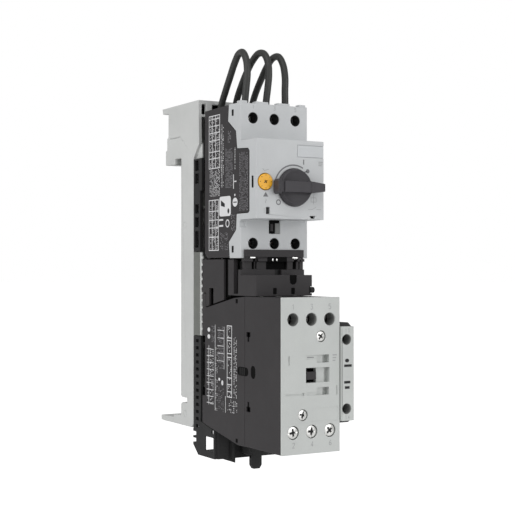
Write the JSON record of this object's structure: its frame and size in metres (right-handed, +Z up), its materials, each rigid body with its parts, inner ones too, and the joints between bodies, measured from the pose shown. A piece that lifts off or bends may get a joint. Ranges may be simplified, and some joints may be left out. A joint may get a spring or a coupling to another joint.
{
  "type": "motor protection breaker and contactor on a busbar adapter",
  "caption": "Tall narrow motor starter: breaker with rotary handle and setting dial, link module, contactor with side contact, and a busbar adapter behind.",
  "frame": {"origin": "centre of the middle busbar clamp's contact face, on the rear of the adapter", "axes": "+X to the right as seen from the front, +Y out of the back towards the busbars, +Z up along the starter"},
  "size_m": [0.0459, 0.1515, 0.248],
  "materials": {
    "carrier_plastic": "fine moulded texture",
    "cover_plastic": "fine moulded texture",
    "face_plastic": "fine moulded texture",
    "dark_plastic": "fine moulded texture",
    "handle_plastic": "satin",
    "black_plastic": "satin",
    "yellow_plastic": "semi-gloss",
    "marker_plastic": "semi-gloss",
    "lead_insulation": "satin",
    "zinc_plate": "zinc plated",
    "screw_steel": "nickel plated",
    "tinned_copper": "tinned",
    "core_iron": "laminated, oiled",
    "spring_steel": "drawn wire",
    "coil_winding": "varnished"
  },
  "bodies": {
    "starter": {"adapter_carrier": "carrier_plastic", "busbar_clamp_upper": "tinned_copper", "busbar_clamp_middle": "tinned_copper", "busbar_clamp_lower": "tinned_copper", "lock_spring": "spring_steel", "upper_bracket": "black_plastic", "lower_rack": "black_plastic", "side_channel_left": "zinc_plate", "side_channel_right": "zinc_plate", "din_rail_upper": "zinc_plate", "din_rail_lower": "zinc_plate", "line_lead_left": "lead_insulation", "line_lead_middle": "lead_insulation", "line_lead_right": "lead_insulation", "breaker_base": "dark_plastic", "breaker_cover": "cover_plastic", "marker_plate": "marker_plastic", "line_screw_left": "screw_steel", "line_screw_middle": "screw_steel", "line_screw_right": "screw_steel", "outlet_screw_left": "screw_steel", "outlet_screw_middle": "screw_steel", "outlet_screw_right": "screw_steel", "trip_unit": "coil_winding", "link_pin_left": "tinned_copper", "link_pin_middle": "tinned_copper", "link_pin_right": "tinned_copper", "link_housing": "dark_plastic", "link_terminal_block": "black_plastic", "link_bracket": "dark_plastic", "link_stud": "black_plastic", "contactor_base": "dark_plastic", "contactor_housing": "dark_plastic", "contactor_faceplate": "face_plastic", "fixed_core": "core_iron", "coil": "coil_winding", "return_spring": "spring_steel", "coil_screw_a1": "screw_steel", "coil_screw_a2": "screw_steel", "supply_screw_left": "screw_steel", "supply_screw_middle": "screw_steel", "supply_screw_right": "screw_steel", "motor_screw_left": "screw_steel", "motor_screw_middle": "screw_steel", "motor_screw_right": "screw_steel", "aux_housing": "dark_plastic", "aux_faceplate": "face_plastic", "aux_screw_upper": "screw_steel", "aux_screw_lower": "screw_steel"},
    "handle": {"rotary_handle": "handle_plastic", "handle_shaft": "core_iron"},
    "dial": {"current_dial": "yellow_plastic"},
    "test_button": {"test_plunger": "black_plastic"},
    "bridge": {"contact_bridge": "black_plastic"},
    "breaker_latch": {"breaker_rail_latch": "black_plastic"},
    "contactor_latch": {"contactor_rail_latch": "black_plastic"},
    "drive": {"contact_carrier": "dark_plastic", "armature": "core_iron"},
    "aux_drive": {"aux_plunger": "black_plastic"},
    "lock": {"lock_slide": "black_plastic"}
  },
  "joints": [
    {"name": "handle_turn", "type": "hinge", "parent": "starter", "child": "handle", "pos_m": [0.0023, -0.0943, 0.0495], "axis": [0, 1, 0], "range_deg": [0, 90]},
    {"name": "dial_turn", "type": "hinge", "parent": "starter", "child": "dial", "pos_m": [-0.0164, -0.0943, 0.0522], "axis": [0, 1, 0], "range_deg": [-135, 135]},
    {"name": "test_press", "type": "slide", "parent": "starter", "child": "test_button", "axis": [0, 1, 0], "range_m": [0, 0.0015], "stiffness_N_per_m": 300, "springref_m": -0.002},
    {"name": "bridge_slide", "type": "slide", "parent": "starter", "child": "bridge", "axis": [0, 1, 0], "range_m": [0, 0.003]},
    {"name": "breaker_latch_slide", "type": "slide", "parent": "starter", "child": "breaker_latch", "axis": [0, 0, -1], "range_m": [0, 0.004], "stiffness_N_per_m": 600, "springref_m": -0.004},
    {"name": "contactor_latch_slide", "type": "slide", "parent": "starter", "child": "contactor_latch", "axis": [0, 0, -1], "range_m": [0, 0.004], "stiffness_N_per_m": 600, "springref_m": -0.004},
    {"name": "armature_slide", "type": "slide", "parent": "starter", "child": "drive", "axis": [0, 1, 0], "range_m": [0, 0.0046], "stiffness_N_per_m": 500, "springref_m": -0.005},
    {"name": "aux_slide", "type": "slide", "parent": "starter", "child": "aux_drive", "axis": [0, 1, 0], "range_m": [0, 0.0046]},
    {"name": "lock_pull", "type": "slide", "parent": "starter", "child": "lock", "axis": [0, 0, -1], "range_m": [0, 0.004], "stiffness_N_per_m": 900, "springref_m": -0.005, "deforming": ["lock_spring"]}
  ],
  "couplings": [
    {"joint": "bridge_slide", "follows": "handle_turn", "m_per_rad": 0.0019},
    {"joint": "aux_slide", "follows": "armature_slide", "ratio": 1}
  ]
}
